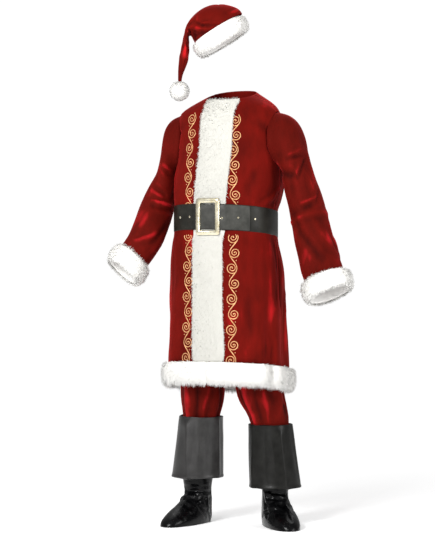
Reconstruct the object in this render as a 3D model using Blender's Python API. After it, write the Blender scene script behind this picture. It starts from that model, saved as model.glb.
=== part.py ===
"""Santa suit as worn by a standing figure: coat, belt, trousers, boot covers and hat, all hollow.

Metres, +Z up, the front towards -Y. Heights in the tables are above the wearer's soles.
"""
import math
from collections import namedtuple

import bmesh
import bpy
from mathutils import Matrix, Vector

# Driving sizes
HOLD_HEIGHT = 1.46      # neck base, where the wearer holds the coat; the model's origin
SEAM = 0.0003           # space between pieces that are sewn or lie together
VELVET = 0.002
LEATHERETTE = 0.0018
PLUSH = 0.010
BELT_LOW = 1.016
BELT_HIGH = 1.104
BELT_THICK = 0.003
PLUSH_UNDER_BELT = 0.004
PLACKET_HALF = 0.0585
HEM_LOW = 0.497
SECTION_POWER = 2.3     # 2 is an ellipse; a little more gives fuller corners
TURN_TO_HEAD = math.radians(24)

# Armhole: an oval in the coat's wall, from the armpit to the shoulder point
ARMPIT = 1.250
SHOULDER = 1.436
ARMHOLE_SPREAD = math.radians(30)
ARMHOLE_STEPS = 8

# Coat: one row for each section; fall is its slope from front to back, roll from right to left
CoatSection = namedtuple("CoatSection", "height half_width front back centre_x fall roll")
COAT = (
    CoatSection(0.490, 0.211, 0.161, 0.172, 0.000, -0.130, 0.000),
    CoatSection(0.640, 0.206, 0.158, 0.167, 0.000, -0.130, 0.000),
    CoatSection(0.800, 0.200, 0.153, 0.162, 0.000, -0.125, 0.000),
    CoatSection(0.950, 0.191, 0.150, 0.156, -0.002, -0.115, -0.010),
    CoatSection(BELT_LOW, 0.178, 0.140, 0.144, -0.005, -0.110, -0.020),
    CoatSection(BELT_HIGH, 0.178, 0.140, 0.144, -0.005, -0.110, -0.020),
    CoatSection(1.150, 0.188, 0.148, 0.151, 0.003, -0.090, -0.010),
    CoatSection(1.205, 0.188, 0.148, 0.153, 0.009, -0.060, 0.000),
    CoatSection(1.250, 0.185, 0.145, 0.152, 0.013, -0.030, 0.000),
    CoatSection(1.320, 0.182, 0.136, 0.147, 0.017, 0.000, -0.030),
    CoatSection(1.385, 0.182, 0.124, 0.138, 0.014, 0.000, -0.020),
    CoatSection(1.436, 0.176, 0.102, 0.120, 0.012, 0.030, 0.000),
    CoatSection(1.457, 0.157, 0.091, 0.108, 0.014, 0.090, 0.010),
    CoatSection(1.473, 0.130, 0.084, 0.099, 0.016, 0.150, 0.005),
    CoatSection(1.486, 0.104, 0.080, 0.093, 0.017, 0.210, 0.000),
    CoatSection(1.496, 0.084, 0.078, 0.089, 0.017, 0.260, 0.000),
)
SKIRT_ROWS = (0.565, 0.640, 0.720, 0.800, 0.880, 0.950, BELT_LOW, BELT_HIGH, 1.128, 1.165, 1.210)
YOKE_ROWS = (1.450, 1.466, 1.481, 1.496)

# Folds of the skirt: angle from the front centre in degrees, positive to the wearer's left
Fold = namedtuple("Fold", "angle width depth top")
SKIRT_FOLDS = (
    Fold(38, 7, -0.006, 0.90), Fold(52, 8, 0.010, 1.00), Fold(66, 6, -0.010, 0.98),
    Fold(78, 7, 0.009, 1.00), Fold(96, 8, -0.010, 0.95), Fold(112, 9, 0.009, 0.98),
    Fold(131, 8, -0.007, 1.00), Fold(150, 10, 0.011, 1.00), Fold(168, 8, -0.010, 0.96),
    Fold(-170, 9, 0.009, 0.98), Fold(-150, 9, -0.011, 1.00), Fold(-128, 9, 0.008, 0.98),
    Fold(-108, 8, -0.010, 0.96), Fold(-88, 8, 0.008, 1.00), Fold(-66, 8, -0.008, 0.94),
    Fold(-46, 7, 0.006, 0.90),
)

# Sleeves: one row for each ring, from the point nearest the body (inner) to the farthest (outer)
SleeveRing = namedtuple("SleeveRing", "inner_x inner_z outer_x outer_z centre_y half_depth")
LEFT_SLEEVE = (
    SleeveRing(0.2055, 1.243, 0.230, 1.427, 0.000, 0.085),
    SleeveRing(0.2095, 1.231, 0.264, 1.399, 0.000, 0.081),
    SleeveRing(0.2120, 1.213, 0.286, 1.347, 0.000, 0.076),
    SleeveRing(0.2140, 1.193, 0.299, 1.280, 0.000, 0.072),
    SleeveRing(0.2170, 1.168, 0.317, 1.225, 0.002, 0.068),
    SleeveRing(0.2230, 1.133, 0.339, 1.172, 0.004, 0.066),
    SleeveRing(0.2330, 1.095, 0.354, 1.122, 0.006, 0.064),
    SleeveRing(0.2410, 1.048, 0.369, 1.072, 0.004, 0.063),
    SleeveRing(0.2530, 1.000, 0.386, 1.027, -0.004, 0.062),
    SleeveRing(0.2680, 0.945, 0.404, 0.982, -0.014, 0.061),
    SleeveRing(0.2870, 0.891, 0.421, 0.941, -0.025, 0.060),
    SleeveRing(0.3080, 0.838, 0.440, 0.900, -0.036, 0.060),
)
RIGHT_SLEEVE = (
    SleeveRing(-0.1800, 1.245, -0.201, 1.426, 0.000, 0.085),
    SleeveRing(-0.1860, 1.233, -0.223, 1.394, 0.000, 0.080),
    SleeveRing(-0.1900, 1.213, -0.233, 1.341, 0.000, 0.075),
    SleeveRing(-0.1925, 1.190, -0.242, 1.280, 0.000, 0.071),
    SleeveRing(-0.1950, 1.165, -0.262, 1.232, 0.000, 0.067),
    SleeveRing(-0.1975, 1.137, -0.290, 1.187, -0.004, 0.065),
    SleeveRing(-0.2000, 1.107, -0.309, 1.148, -0.014, 0.064),
    SleeveRing(-0.2000, 1.073, -0.320, 1.108, -0.032, 0.063),
    SleeveRing(-0.2010, 1.035, -0.323, 1.070, -0.055, 0.062),
    SleeveRing(-0.2080, 0.995, -0.325, 1.032, -0.080, 0.061),
    SleeveRing(-0.2240, 0.950, -0.332, 1.001, -0.105, 0.060),
    SleeveRing(-0.2480, 0.904, -0.345, 0.970, -0.130, 0.060),
)

# Boots and legs; x and y are the ankle's place, toe_out turns the foot away from the middle
Boot = namedtuple("Boot", "side x y toe_out cuff_low cuff_high lean fullness")
BOOTS = (
    Boot(-1, -0.135, 0.050, math.radians(10), 0.173, 0.384, 0.070, 1.00),
    Boot(1, 0.146, 0.080, math.radians(39), 0.146, 0.362, -0.080, 1.08),
)
FootSection = namedtuple("FootSection", "height half_length half_width forward")
FOOT = (
    FootSection(0.015, 0.128, 0.054, 0.072),
    FootSection(0.032, 0.127, 0.057, 0.069),
    FootSection(0.055, 0.109, 0.055, 0.051),
    FootSection(0.078, 0.077, 0.050, 0.021),
    FootSection(0.100, 0.057, 0.046, 0.001),
    FootSection(0.125, 0.043, 0.044, -0.004),
    FootSection(0.160, 0.054, 0.050, 0.000),
    FootSection(0.220, 0.058, 0.057, 0.000),
    FootSection(0.300, 0.066, 0.066, 0.000),
)
CUFF_TOP_RADIUS = 0.078
CUFF_LOW_RADIUS = 0.091
CUFF_THICK = 0.004

# Trousers: spread is how far the leg's middle is between the hip (0) and the ankle (1)
LegSection = namedtuple("LegSection", "height spread half_width half_depth ripple")
LEG = (
    LegSection(0.345, 1.00, 0.060, 0.061, 0.001),
    LegSection(0.372, 0.97, 0.064, 0.065, 0.002),
    LegSection(0.400, 0.93, 0.068, 0.069, 0.004),
    LegSection(0.440, 0.66, 0.077, 0.077, 0.006),
    LegSection(0.500, 0.46, 0.078, 0.076, 0.004),
    LegSection(0.600, 0.34, 0.076, 0.078, 0.003),
    LegSection(0.700, 0.22, 0.076, 0.086, 0.002),
    LegSection(0.780, 0.10, 0.078, 0.094, 0.001),
)
TUCKED = (0.305, 0.325)     # the leg's end lies against the boot's shaft at these heights
ROUND_LEG = 20
HIP_X = 0.090
WAISTBAND_LOW = 1.020
WAISTBAND_HIGH = 1.055
WAIST_EASE = 0.0009
SeatSection = namedtuple("SeatSection", "height half_width front back")
SEAT = (
    SeatSection(0.860, 0.160, 0.112, 0.128),
    SeatSection(0.950, 0.162, 0.118, 0.126),
)
SEAT_SLOPE = 0.11           # the seat rises towards the front
SEAT_TOP = 1.0194
SEAT_EDGE = 0.001           # half the gap between the two legs' seam, as an angle

# Hat: each row is a section of the crown from its near point, low at the side, to its far one;
# along is towards the hat's high side and up is vertical, both from the hat's own place
HatSection = namedtuple("HatSection", "far_along far_up near_along near_up half_depth")
HAT_PLACE = (-0.0224, -0.021, 1.680)
CROWN = (
    HatSection(0.0827, 0.0985, -0.0843, -0.0038, 0.0930),
    HatSection(0.0720, 0.1165, -0.0910, 0.0080, 0.0950),
    HatSection(0.0330, 0.1270, -0.0925, 0.0140, 0.0900),
    HatSection(-0.0190, 0.1320, -0.0950, 0.0195, 0.0780),
    HatSection(-0.0640, 0.1120, -0.0985, 0.0225, 0.0620),
    HatSection(-0.0970, 0.0800, -0.1030, 0.0215, 0.0500),
    HatSection(-0.1180, 0.0480, -0.1055, 0.0125, 0.0420),
    HatSection(-0.1265, -0.0020, -0.1000, -0.0200, 0.0350),
    HatSection(-0.1315, -0.0480, -0.0990, -0.0600, 0.0270),
    HatSection(-0.1385, -0.0830, -0.1140, -0.0900, 0.0170),
    HatSection(-0.1420, -0.1140, -0.1270, -0.1160, 0.0095),
    HatSection(-0.1405, -0.1385, -0.1285, -0.1385, 0.0065),
)
BAND_SLOPE = math.radians(31.5)
BAND_ALONG = 0.0175
BAND_LOW = -0.0130
BAND_HIGH = 0.0400
BAND_HALF_LENGTH = 0.1010
BAND_HALF_DEPTH = 0.1080
POMPOM_RADIUS = 0.030

# Belt: where the free end stops, and each eyelet's angle and whether it is on that end
BELT_END = math.radians(50)
BELT_END_INSET = 0.002
EYELETS = ((-38, False), (-21, False), (31, True), (53, False))
EYELET_RADIUS = 0.0042
EYELET_HIGH = 0.0012

# Buckle
BUCKLE_WIDTH = 0.087
BUCKLE_HEIGHT = 0.125
BUCKLE_BAR = 0.016
BUCKLE_THICK = 0.005
BUCKLE_BEVEL = 0.002
BUCKLE_CORNER = 0.008
OPENING_CORNER = 0.003

# Plush bands: distance along the band from its edge, and how far it stands out of the velvet
BandRow = namedtuple("BandRow", "along out")
HEM_ROWS = (BandRow(0.0, 0.006), BandRow(0.014, 0.016), BandRow(0.0514, 0.017), BandRow(0.0674, 0.008))
CUFF_ROWS = (BandRow(0.0006, 0.006), BandRow(0.012, 0.014), BandRow(0.045, 0.015), BandRow(0.060, 0.007))

RED = (0.22, 0.006, 0.012)
WHITE = (0.86, 0.84, 0.80)
BLACK = (0.012, 0.012, 0.013)
GOLD = (0.80, 0.74, 0.52)


def material(name, colour, roughness, metallic=0.0):
    made = bpy.data.materials.new(name)
    made.use_nodes = True
    shader = made.node_tree.nodes["Principled BSDF"]
    shader.inputs["Base Color"].default_value = (*colour, 1.0)
    shader.inputs["Roughness"].default_value = roughness
    shader.inputs["Metallic"].default_value = metallic
    made.diffuse_color = (*colour, 1.0)
    return made


def read_table(table, height):
    """The table's row at a height, joined smoothly with no overshoot; heights ascend."""
    kind = type(table[0])
    if height <= table[0].height:
        return table[0]
    if height >= table[-1].height:
        return table[-1]
    index = max(i for i, row in enumerate(table) if row.height <= height)
    low, high = table[index], table[index + 1]
    span = high.height - low.height
    part = (height - low.height) / span
    values = [height]
    for column in range(1, len(low)):
        slopes = []
        for at in (index, index + 1):
            before = table[max(at - 1, 0)]
            here = table[at]
            after = table[min(at + 1, len(table) - 1)]
            slope = 0.0
            if 0 < at < len(table) - 1:
                left = (here[column] - before[column]) / (here.height - before.height)
                right = (after[column] - here[column]) / (after.height - here.height)
                if left * right > 0:
                    slope = 2 * left * right / (left + right)
            slopes.append(slope * span)
        a, b = low[column], high[column]
        cubic = ((2 * part ** 3 - 3 * part ** 2 + 1) * a + (part ** 3 - 2 * part ** 2 + part) * slopes[0]
                 + (3 * part ** 2 - 2 * part ** 3) * b + (part ** 3 - part ** 2) * slopes[1])
        values.append(cubic)
    return kind(*values)


def smooth(value, low, high):
    part = min(1.0, max(0.0, (value - low) / (high - low)))
    return part * part * (3 - 2 * part)


def power(value, exponent):
    return math.copysign(abs(value) ** exponent, value)


def fold_depth(angle, height):
    total = 0.0
    for fold in SKIRT_FOLDS:
        away = (math.degrees(angle) - fold.angle + 180) % 360 - 180
        fade = smooth(fold.top - height, 0.0, 0.42)
        total += fold.depth * fade * math.exp(-(away / fold.width) ** 2)
    return total


def coat_surface(angle, height):
    """The coat's outer face; the angle runs from the front (0) to the wearer's left (90 degrees)."""
    section = read_table(COAT, height)
    sine = power(math.sin(angle), 2 / SECTION_POWER)
    cosine = power(math.cos(angle), 2 / SECTION_POWER)
    depth = section.front if cosine > 0 else section.back
    grow = fold_depth(angle, height)
    x = section.centre_x + (section.half_width + grow) * sine
    y = -(depth + grow) * cosine
    return Vector((x, y, height + section.fall * y + section.roll * x))


def coat_point(angle, height, out=0.0):
    """A point of the coat, moved out from its face along the normal."""
    here = coat_surface(angle, height)
    if out == 0.0:
        return here
    step_angle, step_height = 0.01, 0.002
    around = coat_surface(angle + step_angle, height) - coat_surface(angle - step_angle, height)
    upward = coat_surface(angle, height + step_height) - coat_surface(angle, height - step_height)
    return here + around.cross(upward).normalized() * out


def panel_object(name, outer, inner, finish, wrapped=0):
    """A closed wall between an outer and an inner grid of points; the first rows may be rings."""
    mesh = bmesh.new()
    rows = len(outer)
    outside = [[mesh.verts.new(point) for point in row] for row in outer]
    inside = [[mesh.verts.new(point) for point in row] for row in inner]

    def corner(grid, row, column):
        return grid[row][column % len(grid[row])] if row <= wrapped and wrapped else grid[row][column]

    def rim(first, second):
        mesh.faces.new((corner(outside, *first), corner(outside, *second),
                        corner(inside, *second), corner(inside, *first)))

    columns = len(outer[0]) if wrapped else len(outer[0]) - 1
    for row in range(rows - 1):
        for column in range(columns):
            square = ((row, column), (row, column + 1), (row + 1, column + 1), (row + 1, column))
            mesh.faces.new([corner(outside, *place) for place in square])
            mesh.faces.new([corner(inside, *place) for place in reversed(square)])
        if row >= wrapped:
            rim((row, 0), (row + 1, 0))
            rim((row, columns), (row + 1, columns))
    for row in (0, rows - 1):
        for column in range(columns):
            rim((row, column), (row, column + 1))
    bmesh.ops.recalc_face_normals(mesh, faces=mesh.faces)
    return mesh_object(name, mesh, finish)


def mesh_object(name, mesh, finish):
    data = bpy.data.meshes.new(name)
    mesh.to_mesh(data)
    mesh.free()
    data.materials.append(finish)
    data.shade_smooth()
    data.set_sharp_from_angle(angle=math.radians(50))
    made = bpy.data.objects.new(name, data)
    suit.objects.link(made)
    made.parent = standing
    return made


def tube_object(name, outer, thickness, finish):
    """A hollow tube through rings of points, its wall measured towards each ring's middle."""
    return panel_object(name, outer, [moved_in(ring, thickness) for ring in outer], finish, len(outer))


def moved_in(ring, distance):
    middle = sum(ring, Vector()) / len(ring)
    return [point + (middle - point).normalized() * distance for point in ring]


def armhole_rows():
    middle, half = (ARMPIT + SHOULDER) / 2, (SHOULDER - ARMPIT) / 2
    return [middle - half * math.cos(math.pi * step / ARMHOLE_STEPS) for step in range(ARMHOLE_STEPS + 1)]


def armhole_angle(height):
    """How far the armhole's edge is from the coat's side, as an angle round the body."""
    middle, half = (ARMPIT + SHOULDER) / 2, (SHOULDER - ARMPIT) / 2
    across = 1 - ((height - middle) / half) ** 2
    return ARMHOLE_SPREAD * math.sqrt(across) if across > 1e-9 else 0.0


def seam_angle(height):
    return SEAM / 2 / read_table(COAT, height).front


def placket_angle(height):
    section = read_table(COAT, height)
    return math.asin((PLACKET_HALF / section.half_width) ** (SECTION_POWER / 2))


def front_angles(height, columns, placket_columns=2):
    edge, seam = placket_angle(height), seam_angle(height)
    side = math.pi / 2 - armhole_angle(height) - seam
    inner = [seam + (edge - seam) * column / placket_columns for column in range(placket_columns)]
    rest = columns - placket_columns
    return inner + [edge + (side - edge) * column / rest for column in range(rest + 1)]


def coat_rows():
    return [*SKIRT_ROWS, *armhole_rows(), *YOKE_ROWS]


def make_coat():
    rows = coat_rows()
    for name, side in (("coat_front_left", 1), ("coat_front_right", -1)):
        outer = [[coat_point(side * angle, row) for angle in front_angles(row, 12)] for row in rows]
        inner = [[coat_point(side * angle, row, -VELVET) for angle in front_angles(row, 12)] for row in rows]
        panel_object(name, outer, inner, velvet)

    def back_angles(row):
        side = math.pi / 2 + armhole_angle(row) + seam_angle(row)
        return [side + (2 * math.pi - 2 * side) * column / 24 for column in range(25)]

    outer = [[coat_point(angle, row) for angle in back_angles(row)] for row in rows]
    inner = [[coat_point(angle, row, -VELVET) for angle in back_angles(row)] for row in rows]
    panel_object("coat_back", outer, inner, velvet)


def make_placket():
    """The plush strip over the closing, thinner under the belt."""
    rows = coat_rows()
    outer, inner = [], []
    for row in rows:
        from_belt = max(BELT_LOW - row, row - BELT_HIGH)
        thick = PLUSH_UNDER_BELT + (PLUSH - PLUSH_UNDER_BELT) * smooth(from_belt, 0.02, 0.06)
        edge = placket_angle(row)
        angles = [edge * step for step in (-1, -0.5, 0, 0.5, 1)]
        raised = [thick * part for part in (0.45, 1, 1, 1, 0.45)]
        outer.append([coat_point(angle, row, rise) for angle, rise in zip(angles, raised)])
        inner.append([coat_point(angle, row, SEAM) for angle in angles])
    panel_object("placket", outer, inner, plush)


def make_hem():
    """The plush band round the hem, sewn to the velvet's lower edge and split at the closing."""
    seam = seam_angle(HEM_LOW)
    angles = [seam + (2 * math.pi - 2 * seam) * column / 48 for column in range(49)]
    outer = [[coat_point(angle, HEM_LOW + row.along, row.out) for angle in angles] for row in HEM_ROWS]
    inner = [[coat_point(angle, HEM_LOW + row.along, -VELVET) for angle in angles] for row in HEM_ROWS]
    panel_object("hem_band", outer, inner, plush)


def sleeve_rings(rings, side):
    """Rings of the sleeve's outer face, from the armhole to the wrist."""
    heights = armhole_rows()
    front = [(side * (math.pi / 2 - armhole_angle(height)), height) for height in heights]
    back = [(side * (math.pi / 2 + armhole_angle(height)), height) for height in heights[-2:0:-1]]
    armhole = [coat_point(*place) for place in front + back]
    result = [moved_in(armhole, SEAM * 2)]
    middles = [Vector(((ring.inner_x + ring.outer_x) / 2, ring.centre_y, (ring.inner_z + ring.outer_z) / 2))
               for ring in rings]
    count = 2 * ARMHOLE_STEPS
    for index, ring in enumerate(rings):
        before, after = middles[max(index - 1, 0)], middles[min(index + 1, len(rings) - 1)]
        outward = Vector((ring.outer_x - ring.inner_x, 0, ring.outer_z - ring.inner_z))
        reach = outward.length / 2
        outward.normalize()
        run = (after - before).normalized()
        forward = run.cross(outward).normalized()
        if forward.y > 0:
            forward = -forward
        points = []
        for step in range(count):
            turn = 2 * math.pi * step / count
            points.append(middles[index] - outward * reach * math.cos(turn)
                          + forward * ring.half_depth * math.sin(turn))
        result.append(points)
    return result


def make_sleeves():
    for name, rings, side in (("left", LEFT_SLEEVE, 1), ("right", RIGHT_SLEEVE, -1)):
        outer = sleeve_rings(rings, side)
        tube_object(f"sleeve_{name}", outer, VELVET, velvet)
        last, before = outer[-1], outer[-2]
        middle = sum(last, Vector()) / len(last)
        run = (middle - sum(before, Vector()) / len(before)).normalized()
        cuff, lining = [], []
        for row in CUFF_ROWS:
            ring = [point + run * row.along for point in last]
            cuff.append(moved_in(ring, -row.out))
            lining.append(moved_in(ring, VELVET))
        panel_object(f"cuff_{name}", cuff, lining, plush, len(CUFF_ROWS))


def make_belt():
    """The strap, flat across the front where the buckle pulls it, with its free end lying over."""
    rows = (BELT_LOW, BELT_HIGH)
    flat_y = -(read_table(COAT, BELT_LOW).front + PLUSH_UNDER_BELT + SEAM * 2)

    def strap_point(angle, row, out):
        point = coat_point(angle, row, SEAM * 2 + out)
        if abs(angle) <= placket_angle(row) + 1e-6:
            point.y = flat_y - out
        return point

    half = [angle for angle in front_angles(BELT_LOW, 12) if angle > 0.01]
    half[-1] = math.pi / 2
    back = [math.pi / 2 + math.pi * step / 24 for step in range(1, 24)]
    ring = [0.0] + half + back + [-angle for angle in reversed(half)]
    outer = [[strap_point(angle, row, BELT_THICK) for angle in ring] for row in rows]
    inner = [[strap_point(angle, row, 0.0) for angle in ring] for row in rows]
    panel_object("belt_strap", outer, inner, leatherette, len(rows))

    over = [-half[0], 0.0] + [angle for angle in half if angle < BELT_END]
    base = BELT_THICK + SEAM
    rows = (BELT_LOW + BELT_END_INSET, BELT_HIGH - BELT_END_INSET)
    outer = [[strap_point(angle, row, base + BELT_THICK) for angle in over] for row in rows]
    inner = [[strap_point(angle, row, base) for angle in over] for row in rows]
    panel_object("belt_end", outer, inner, leatherette)

    make_buckle(flat_y - base - BELT_THICK - SEAM)
    for number, (degrees, on_end) in enumerate(EYELETS, start=1):
        angle = math.radians(degrees)
        rise = base + BELT_THICK if on_end else BELT_THICK
        column = max(i for i, value in enumerate(half) if value <= abs(angle))
        near, far = (strap_point(math.copysign(half[i], angle), BELT_LOW, rise) for i in (column, column + 1))
        upper = strap_point(math.copysign(half[column], angle), BELT_HIGH, rise)
        part = (abs(angle) - half[column]) / (half[column + 1] - half[column])
        outward = (far - near).cross(upper - near).normalized() * math.copysign(1, angle)
        place = near.lerp(far, part) + (upper - near) / 2 + outward * (EYELET_HIGH / 2 + SEAM)
        make_eyelet(f"eyelet_{number}", place, outward)


def make_eyelet(name, place, outward):
    mesh = bmesh.new()
    bmesh.ops.create_cone(mesh, cap_ends=True, segments=10, radius1=EYELET_RADIUS,
                          radius2=EYELET_RADIUS * 0.8, depth=EYELET_HIGH)
    turn = Vector((0, 0, 1)).rotation_difference(outward).to_matrix().to_4x4()
    bmesh.ops.transform(mesh, matrix=Matrix.Translation(place) @ turn, verts=mesh.verts)
    mesh_object(name, mesh, metal)


def rounded_rectangle(width, height, radius, steps=3):
    points = []
    for corner, (sign_x, sign_z) in enumerate(((1, 1), (-1, 1), (-1, -1), (1, -1))):
        for step in range(steps + 1):
            turn = math.pi / 2 * (corner + step / steps)
            points.append((sign_x * (width / 2 - radius) + radius * math.cos(turn),
                           sign_z * (height / 2 - radius) + radius * math.sin(turn)))
    return points


def make_buckle(back_y):
    """A plain rectangular frame in front of the strap, its front edges bevelled."""
    centre = coat_point(0.0, (BELT_LOW + BELT_HIGH) / 2)
    outer, inner = [], []
    for depth, bevel in ((0.0, 0.0), (BUCKLE_THICK - BUCKLE_BEVEL, 0.0), (BUCKLE_THICK, BUCKLE_BEVEL)):
        rim = rounded_rectangle(BUCKLE_WIDTH - 2 * bevel, BUCKLE_HEIGHT - 2 * bevel, BUCKLE_CORNER)
        inset = 2 * (BUCKLE_BAR - bevel)
        opening = rounded_rectangle(BUCKLE_WIDTH - inset, BUCKLE_HEIGHT - inset, OPENING_CORNER)
        outer.append([Vector((centre.x + x, back_y - depth, centre.z + z)) for x, z in rim])
        inner.append([Vector((centre.x + x, back_y - depth, centre.z + z)) for x, z in opening])
    panel_object("buckle_frame", outer, inner, metal, len(outer))


def leg_middle(boot, height):
    """The middle of the boot's shaft and its turned-down top, which lean a little."""
    return Vector((boot.x + boot.lean * max(0.0, height - boot.cuff_low), boot.y, height))


def foot_ring(boot, height, moved=0.0, count=ROUND_LEG):
    """A ring of the boot cover; the toe points forward and away from the middle."""
    section = read_table(FOOT, height)
    forward = Vector((boot.side * math.sin(boot.toe_out), -math.cos(boot.toe_out), 0))
    sideways = Vector((-forward.y, forward.x, 0))
    middle = leg_middle(boot, height) + forward * section.forward
    points = []
    for step in range(count):
        turn = 2 * math.pi * step / count
        ahead = power(math.cos(turn), 0.9) * (section.half_length + moved)
        aside = power(math.sin(turn), 0.85) * (section.half_width + moved)
        points.append(middle + forward * ahead + sideways * aside)
    return points


def make_boots():
    for boot in BOOTS:
        side = "left" if boot.side > 0 else "right"
        top = boot.cuff_high - 0.004
        rows = [section.height for section in FOOT] + [top - 0.030]
        outer = [foot_ring(boot, row) for row in rows]
        seat = CUFF_TOP_RADIUS - CUFF_THICK - SEAM
        middle = leg_middle(boot, top)
        turned = [middle + (Vector((point.x, point.y, top)) - middle).normalized() * (seat - 0.0002)
                  for point in outer[-1]]
        outer.append(turned)
        tube_object(f"boot_shaft_{side}", outer, LEATHERETTE, leatherette)

        rings = []
        for height, radius in ((boot.cuff_low, CUFF_LOW_RADIUS), (boot.cuff_low + 0.008, CUFF_LOW_RADIUS),
                               (boot.cuff_high - 0.006, CUFF_TOP_RADIUS), (boot.cuff_high, CUFF_TOP_RADIUS)):
            ring = [leg_middle(boot, height) + (point - leg_middle(boot, top)).normalized() * radius
                    for point in outer[-1]]
            rings.append(ring)
        tube_object(f"boot_cuff_{side}", rings, CUFF_THICK, leatherette)


def leg_ring(boot, section, count=ROUND_LEG):
    hip = Vector((boot.side * HIP_X, 0.0, section.height))
    ankle = leg_middle(boot, section.height)
    middle = hip.lerp(ankle, section.spread)
    points = []
    for step in range(count):
        turn = 2 * math.pi * step / count
        ripple = section.ripple * math.cos(4 * turn + boot.side)
        points.append(middle + Vector((-boot.side * math.cos(turn) * (section.half_width * boot.fullness + ripple),
                                       -math.sin(turn) * (section.half_depth + ripple), 0)))
    return points


def seat_angle(boot, part):
    return boot.side * (SEAT_EDGE + (math.pi - 2 * SEAT_EDGE) * part)


def seat_point(boot, part, section, out):
    """The seat of the trousers, inside the coat: from the front centre (0) to the back one (1)."""
    angle = seat_angle(boot, part)
    sine = power(math.sin(angle), 2 / SECTION_POWER)
    cosine = power(math.cos(angle), 2 / SECTION_POWER)
    depth = section.front if cosine > 0 else section.back
    return Vector(((section.half_width - out) * sine, -(depth - out) * cosine,
                   section.height + SEAT_SLOPE * (depth - out) * cosine))


def cut_columns(grid, first, last):
    """A panel's columns of a grid of points, with both side edges drawn in by half a seam."""
    cut = []
    for row in grid:
        line = [row[column % len(row)] for column in range(first, last + 1)]
        line[0] = line[0] + (line[1] - line[0]).normalized() * SEAM / 2
        line[-1] = line[-1] + (line[-2] - line[-1]).normalized() * SEAM / 2
        cut.append(line)
    return cut


def make_trousers():
    """Each leg has a front and a back, sewn down the inside and the outside of the leg."""
    count = ROUND_LEG
    for boot in BOOTS:
        side = "left" if boot.side > 0 else "right"
        rings = [leg_ring(boot, section) for section in LEG]
        for height in reversed(TUCKED):
            shaft = foot_ring(boot, height, -LEATHERETTE - SEAM * 2)
            rings.insert(0, [shaft[(boot.side * (step - count // 4)) % count] for step in range(count)])
        outer = list(rings)
        inner = [moved_in(ring, VELVET) for ring in rings]
        for row in SEAT:
            outer.append([seat_point(boot, step / count, row, 0.0) for step in range(count + 1)])
            inner.append([seat_point(boot, step / count, row, VELVET) for step in range(count + 1)])
        angles = [seat_angle(boot, step / count) for step in range(count + 1)]
        outer.append([coat_point(angle, SEAT_TOP, -VELVET - WAIST_EASE) for angle in angles])
        inner.append([coat_point(angle, SEAT_TOP, -2 * VELVET - WAIST_EASE) for angle in angles])
        for panel, first in (("front", 0), ("back", count // 2)):
            last = first + count // 2
            panel_object(f"trouser_{panel}_{side}", cut_columns(outer, first, last),
                         cut_columns(inner, first, last), velvet)

    angles = [2 * math.pi * step / 48 for step in range(48)]
    rows = (WAISTBAND_LOW, WAISTBAND_HIGH)
    inset = -VELVET - WAIST_EASE
    outer = [[coat_point(angle, row, inset) for angle in angles] for row in rows]
    inner = [[coat_point(angle, row, inset - VELVET) for angle in angles] for row in rows]
    panel_object("trouser_waistband", outer, inner, velvet, len(rows))


def hat_frame(along, across, up):
    """From the hat's own axes to the model's; along runs towards the hat's high side."""
    turn = Matrix.Rotation(TURN_TO_HEAD, 3, "Z")
    return Vector(HAT_PLACE) + turn @ Vector((along, across, up))


def make_hat():
    count = 18
    rings = []
    for section in CROWN:
        ring = []
        for step in range(count):
            turn = 2 * math.pi * step / count
            part = (1 + math.cos(turn)) / 2
            along = section.near_along + (section.far_along - section.near_along) * part
            up = section.near_up + (section.far_up - section.near_up) * part
            ring.append(hat_frame(along, section.half_depth * math.sin(turn), up))
        rings.append(ring)
    tube_object("hat_crown", rings, 0.0016, velvet)

    rings = []
    lengthwise = Vector((math.cos(BAND_SLOPE), 0, math.sin(BAND_SLOPE)))
    upright = Vector((-math.sin(BAND_SLOPE), 0, math.cos(BAND_SLOPE)))

    def band_ring(height, shrink):
        points = []
        for step in range(24):
            turn = 2 * math.pi * step / 24
            place = (lengthwise * (BAND_ALONG + (BAND_HALF_LENGTH - shrink) * math.cos(turn)) + upright * height)
            points.append(hat_frame(place.x, (BAND_HALF_DEPTH - shrink) * math.sin(turn), place.z))
        return points

    profile = ((BAND_LOW, 0.009), (BAND_LOW + 0.014, 0.0), (BAND_HIGH - 0.014, 0.0), (BAND_HIGH, 0.009))
    outer = [band_ring(height, shrink) for height, shrink in profile]
    inner = [band_ring(height, 0.019) for height, shrink in profile]
    panel_object("hat_band", outer, inner, plush, len(profile))

    mesh = bmesh.new()
    bmesh.ops.create_icosphere(mesh, subdivisions=3, radius=POMPOM_RADIUS)
    end = CROWN[-1]
    centre = hat_frame((end.far_along + end.near_along) / 2, 0.0, end.far_up - POMPOM_RADIUS)
    bmesh.ops.transform(mesh, matrix=Matrix.Translation(centre), verts=mesh.verts)
    mesh_object("hat_pompom", mesh, plush)


for old in list(bpy.data.objects):
    bpy.data.objects.remove(old)
suit = bpy.data.collections.new("santa_suit")
bpy.context.scene.collection.children.link(suit)
standing = bpy.data.objects.new("standing", None)
standing.location = (0, 0, -HOLD_HEIGHT)
suit.objects.link(standing)
velvet = material("velvet", RED, 0.75)
plush = material("plush", WHITE, 0.95)
leatherette = material("leatherette", BLACK, 0.35)
metal = material("buckle_metal", GOLD, 0.25, 1.0)

make_coat()
make_placket()
make_hem()
make_sleeves()
make_belt()
make_trousers()
make_boots()
make_hat()
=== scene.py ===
"""Looks of the santa suit: velvet, plush, gold thread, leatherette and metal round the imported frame."""

import math
from collections import namedtuple

import bmesh
import bpy
import numpy as np
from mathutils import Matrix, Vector
from mathutils.bvhtree import BVHTree


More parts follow.
